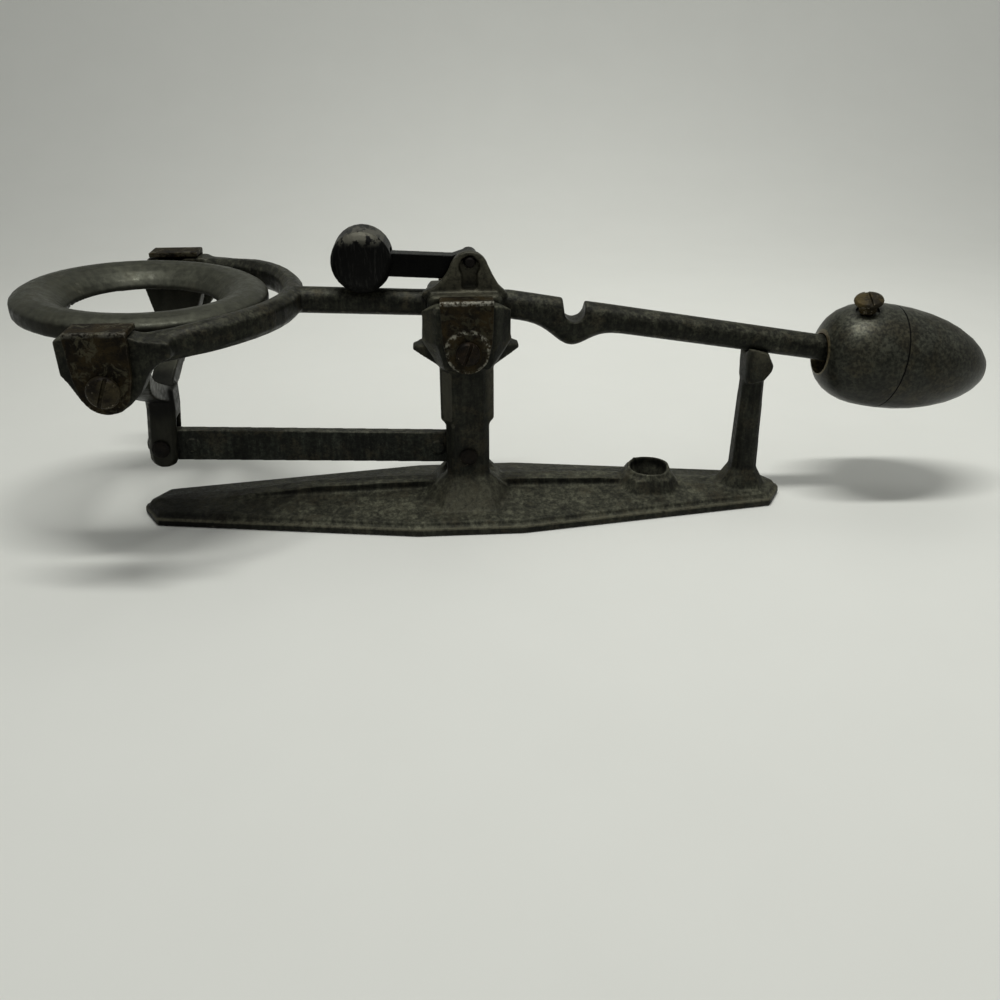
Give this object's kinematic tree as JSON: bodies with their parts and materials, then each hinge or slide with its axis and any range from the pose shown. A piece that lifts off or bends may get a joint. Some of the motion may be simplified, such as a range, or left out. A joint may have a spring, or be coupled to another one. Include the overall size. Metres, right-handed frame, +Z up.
{
  "type": "egg grading balance",
  "caption": "Small cast-aluminium beam balance that grades one egg: a ring on a forked beam, kept level by a check link, against an egg-shaped counterweight and a flip-over poise.",
  "frame": {"origin": "under the pillar's axis, on the face that the balance stands on", "axes": "+X along the beam towards the counterweight, +Y away from the side with the poise's ear, +Z up"},
  "size_m": [0.2415, 0.0834, 0.0731],
  "materials": {
    "base_cast": "sand-cast, oxidised grey-olive, satin",
    "beam_cast": "cast, oxidised grey-olive, handled smooth",
    "ring_cast": "cast, oxidised grey-olive, worn to a soft shine",
    "link_cast": "cast, dark oxide",
    "weight_cast": "cast in two shells, oxidised grey-olive, satin",
    "cap_steel": "pressed steel, rusty brown and pitted",
    "dark_steel": "dark rusted steel",
    "poise_paint": "black paint, worn to metal on the rim",
    "clamp_brass": "dull worn brass",
    "slug_iron": "plain cast iron"
  },
  "bodies": {
    "base": {"base_casting": "base_cast", "fulcrum_cap_front": "cap_steel", "fulcrum_cap_back": "cap_steel", "fulcrum_cap_screw_front": "dark_steel", "fulcrum_cap_screw_back": "dark_steel", "link_pin_pillar": "dark_steel"},
    "beam": {"beam_casting": "beam_cast", "fulcrum_knife_edge": "dark_steel", "ring_cap_front": "cap_steel", "ring_cap_back": "cap_steel", "ring_cap_screw_front": "dark_steel", "ring_cap_screw_back": "dark_steel"},
    "carrier": {"ring_carrier": "ring_cast", "ring_knife_edge_front": "dark_steel", "ring_knife_edge_back": "dark_steel", "link_pin_stem": "dark_steel"},
    "link": {"check_link": "link_cast"},
    "poise": {"poise_arm": "poise_paint", "poise_weight": "poise_paint", "poise_pivot_pin": "dark_steel", "poise_rivet": "dark_steel"},
    "counterweight": {"counterweight_blunt_half": "weight_cast", "counterweight_pointed_half": "weight_cast", "balance_slug": "slug_iron"},
    "clamp_screw": {"clamp_screw": "clamp_brass"}
  },
  "joints": [
    {"name": "beam_tilt", "type": "hinge", "parent": "base", "child": "beam", "pos_m": [0, 0, 0.0536], "axis": [0, -1, 0], "range_deg": [0, 7]},
    {"name": "ring_level", "type": "hinge", "parent": "beam", "child": "carrier", "pos_m": [-0.0776, 0, 0.0568], "axis": [0, -1, 0], "range_deg": [-7, 0]},
    {"name": "link_swing", "type": "hinge", "parent": "base", "child": "link", "pos_m": [0, 0, 0.0166], "axis": [0, -1, 0], "range_deg": [0, 7]},
    {"name": "poise_flip", "type": "hinge", "parent": "beam", "child": "poise", "pos_m": [0.0011, 0, 0.0657], "axis": [0, 1, 0], "range_deg": [0, 186]},
    {"name": "counterweight_slide", "type": "slide", "parent": "beam", "child": "counterweight", "axis": [0.9875, 0, -0.1576], "range_m": [-0.0008, 0.003]},
    {"name": "clamp_screw_turn", "type": "hinge", "parent": "counterweight", "child": "clamp_screw", "pos_m": [0.10048, -0.00298, 0.05194], "axis": [-0.1711, -0.2384, 0.956], "range_deg": [0, 360]}
  ],
  "couplings": [
    {"joint": "ring_level", "follows": "beam_tilt", "ratio": -1},
    {"joint": "link_swing", "follows": "beam_tilt", "ratio": 1}
  ]
}
